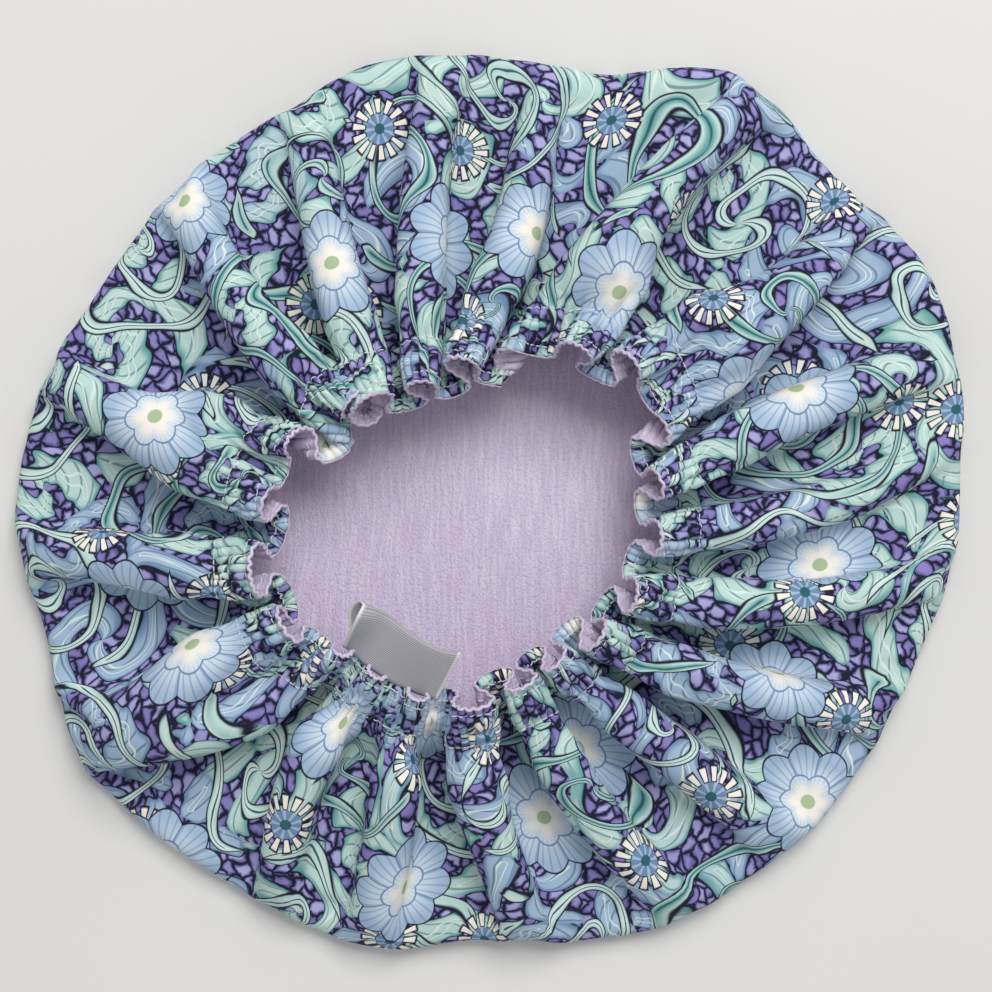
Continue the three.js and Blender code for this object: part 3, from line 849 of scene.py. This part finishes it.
def stitch_row(name, back, side, node):
    """Stitches along one ring of the casing, standing on the cotton (1) or the lining (-1)."""
    ring = first_casing_ring + int(CASING_BACKS[0] - back)
    points = slice(ring_starts[ring], ring_starts[ring + 1])
    ways = outward_way[points] * side
    line = middle_points[points] + ways * (offset[points] + CLOTH_FACE)[:, None]
    closed, closed_ways = np.vstack([line, line[:1]]), np.vstack([ways, ways[:1]])
    length = np.concatenate([[0], np.cumsum(np.linalg.norm(np.diff(closed, axis=0), axis=1))])
    count = int(length[-1] // STITCH_LENGTH)
    share = np.linspace(0, 1, STITCH_STATIONS)
    pitch = length[-1] / count
    at = np.arange(count)[:, None] * pitch + share * (pitch - STITCH_GAP)
    lift = THREAD_RADIUS * (1.6 * np.sin(math.pi * share) ** 0.5 - 0.9)
    lines = np.stack([np.interp(at, length, closed[:, k]) for k in range(3)], -1)
    up = np.stack([np.interp(at, length, closed_ways[:, k]) for k in range(3)], -1)
    up /= np.linalg.norm(up, axis=2)[..., None]
    piece = thread_tubes(name, lines + up * lift[:, None], up, THREAD_RADIUS)
    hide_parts(node)


for place, back in (("edge", EDGE_ROW_BACK), ("casing", CASING_ROW_BACK)):
    for thread, side in (("needle", 1), ("bobbin", -1)):
        name = f"{place}_row_{thread}"
        stitch_row(f"{name}_stitches", back, side, f"{name}_thread")

# Zigzag over the elastic's lap: the same thread, on both faces of the doubled strip, hidden in
# the casing.
ZIGZAG_WIDTH = 5
ZIGZAG_PITCH = 2.0
ZIGZAG_RADIUS = 0.12
ZIGZAG_SHARE = 0.84
zigzag_reach = np.linspace(-ZIGZAG_SHARE / 2, ZIGZAG_SHARE / 2, 61)
zigzag_turn = zigzag_reach * LAP_LENGTH * math.pi / ZIGZAG_PITCH
zigzag_wave = np.arcsin(np.sin(zigzag_turn)) * 2 / math.pi
zigzag_back = ELASTIC_BACK + zigzag_wave * ZIGZAG_WIDTH / 2
at, way = casing_point(zigzag_back, lap_column + zigzag_reach * lap_columns)
for side, name in ((1, "needle"), (-1, "bobbin")):
    lift = side * (lap_shift + ELASTIC_THICKNESS / 2 + ZIGZAG_RADIUS)
    line, up = (at + way * lift)[None], (way * side)[None]
    zigzag = thread_tubes(f"elastic_join_{name}_zigzag", line, up, ZIGZAG_RADIUS)
    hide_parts(f"elastic_join_{name}_thread")

# Label: a grey woven tape folded in two, its cut ends sewn into the opening's edge. It is bare.
# Its fold stands up over the opening and its halves part at one end.
label_tape, shader, cut = new_material("label tape")
mm = cut.vector("SUBTRACT", (0.5, 0.5, 0.0)).vector("SCALE", scale=UV_SIZE)
axes = mm.node("ShaderNodeSeparateXYZ", (), {"Vector": mm})
rows_of_weft = (axes["Y"] * 9).sine()
warp_yarns = (axes["X"] * 11 + axes["Y"] * 4.5).sine()
satin = rows_of_weft * 0.6 + warp_yarns * 0.4
# The raised yarns are drawn paler and the weave's low places darker grey: painted shade between the
# yarns
tape_colour = satin.rise(-0.8, 0.8).over(dye(142, 143, 150), dye(188, 188, 194))
white_edge = axes["X"].size().rise(15.6, 16.6)
tape_colour = white_edge.over(tape_colour, dye(232, 232, 234))
connect(shader, "Base Color", tape_colour)
relief(shader, satin, 0.0002, 0.4)
shader.inputs["Roughness"].default_value = 0.5
shader.inputs["Sheen Weight"].default_value = 0.2

LABEL_WIDTH = 34
LABEL_HEIGHT = 13
LABEL_LEAN = 0.466
LABEL_THICKNESS = 0.4
EDGE_HEIGHT = 38.2
SEWN_IN = 6
LABEL_GAPE = 0.9
END_GAPE = 6
FOLD_ROUND = 3
END_SLIP = 3.5
LABEL_STATIONS, PLY_POINTS = 41, 33
label_degrees = np.arange(LABEL_ANGLE - 40, LABEL_ANGLE + 40, 0.5)
label_line = oval(OPENING_CENTRE, OPENING_HALF, OPENING_UNEVEN, label_degrees)
label_runs = np.linalg.norm(np.diff(label_line, axis=0), axis=1)
label_length = np.concatenate([[0], np.cumsum(label_runs)])
label_length -= np.interp(LABEL_ANGLE, label_degrees, label_length)


def edge_at(run):
    """Point of the opening's edge, a length along it from the label's middle."""
    place = [np.interp(run, label_length, label_line[:, axis]) for axis in range(2)]
    return np.array([*place, EDGE_HEIGHT])


seam = edge_at(0)
outward = seam[:2] - OPENING_CENTRE
outward = np.array([*(outward / np.linalg.norm(outward)), 0])
along = np.array([-outward[1], outward[0], 0])


def rise_and_face(lean):
    """The ways up along the label and square out of its face, at a lean over the opening."""
    up = np.array([0, 0, 1])
    rising = -outward * math.cos(lean) + up * math.sin(lean)
    return rising, outward * math.sin(lean) + up * math.cos(lean)


tape_half = LABEL_HEIGHT + SEWN_IN
label_points, label_uv, label_faces = [], [], []
for i, run in enumerate(np.linspace(-LABEL_WIDTH / 2, LABEL_WIDTH / 2, LABEL_STATIONS)):
    curl = eased(run, -5, -17)
    rising, facing = rise_and_face(LABEL_LEAN + 0.2 * curl + 0.1 * math.sin(run / 5))
    gape = LABEL_GAPE + END_GAPE * curl**1.5
    for ply in np.linspace(-1, 1, PLY_POINTS):
        from_fold = abs(ply) * tape_half
        rounded = math.sin(math.pi / 2 * min(1, from_fold / FOLD_ROUND))
        closing = eased(from_fold, tape_half, 5)
        spread = math.copysign(gape / 2, ply) * rounded * (0.12 + 0.88 * closing)
        height = LABEL_HEIGHT - from_fold + 0.4 * math.sin(run / 4) * (1 - abs(ply))
        bowed = math.sin(math.pi * min(1, from_fold / LABEL_HEIGHT))
        slip = -END_SLIP * curl * bowed if ply < 0 else 0
        label_points.append(edge_at(run) + rising * height + facing * spread + along * slip)
        label_uv.append((run, ply * tape_half))
    if i:
        for k in range(i * PLY_POINTS, (i + 1) * PLY_POINTS - 1):
            before = k - PLY_POINTS
            label_faces.append((before, before + 1, k + 1, k))
label = add_piece("woven_label_tape", label_points, label_faces, label_tape, label_uv)
thicken(label, LABEL_THICKNESS)
BEND_BELOW, BEND_ABOVE = 2, 1.5
rising, _ = rise_and_face(LABEL_LEAN)
bend_from, bend_to = (seam - BEND_BELOW * rising) / 1000, (seam + BEND_ABOVE * rising) / 1000
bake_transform(label)
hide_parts("woven_label")

# Table: a plain pale laminate top that the cap lies on, lit softly by a bright room and by one
# wide window at the far right.
table_finish, shader, cut = new_material("pale table")
place_on_object = cut.node("ShaderNodeTexCoord")["Object"]
mottle = noise(place_on_object, 3.0, 2.0, dimensions="3D")
connect(shader, "Base Color", mottle.rise(0.3, 0.7).over(dye(219, 218, 216), dye(224, 223, 221)))
shader.inputs["Roughness"].default_value = 0.55
TABLE_HALF = 6000
table_sides = ((-1, -1), (1, -1), (1, 1), (-1, 1))
table_corners = [(x * TABLE_HALF, y * TABLE_HALF, 0) for x, y in table_sides]
table = add_piece("table", table_corners, [(0, 1, 2, 3)], table_finish)
table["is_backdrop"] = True

room = bpy.data.worlds.new("room")
bpy.context.scene.world = room
room.use_nodes = True
room_light = room.node_tree.nodes["Background"].inputs
room_light["Color"].default_value = (0.97, 0.98, 1, 1)
room_light["Strength"].default_value = 0.5

WINDOW_PLACE = Vector((0.5, 1.4, 2.2))
window_light = bpy.data.lights.new("window", "AREA")
window_light.size = 1.5
window_light.energy = 50
window_light.color = (1, 0.985, 0.96)
window = bpy.data.objects.new("window", window_light)
window.location = WINDOW_PLACE
window.rotation_euler = (-WINDOW_PLACE).to_track_quat("-Z", "Y").to_euler()
bpy.context.scene.collection.objects.link(window)

# Camera: straight above the cap, with the cap's far side at the top of the picture. The picture's
# width is taken at the height of the rim's roll.
CAMERA_HEIGHT = 0.78
RIM_ROLL_HEIGHT = 0.01
PICTURE_WIDTH = 0.3175
SENSOR_WIDTH = 36
camera = bpy.data.objects.new("camera", bpy.data.cameras.new("camera"))
camera.data.sensor_width = SENSOR_WIDTH
camera.data.lens = SENSOR_WIDTH * (CAMERA_HEIGHT - RIM_ROLL_HEIGHT) / PICTURE_WIDTH
camera.location = (0.0022, 0.0019, CAMERA_HEIGHT)
bpy.context.scene.collection.objects.link(camera)
bpy.context.scene.camera = camera
bpy.context.scene.view_settings.view_transform = "Standard"

low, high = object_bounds()
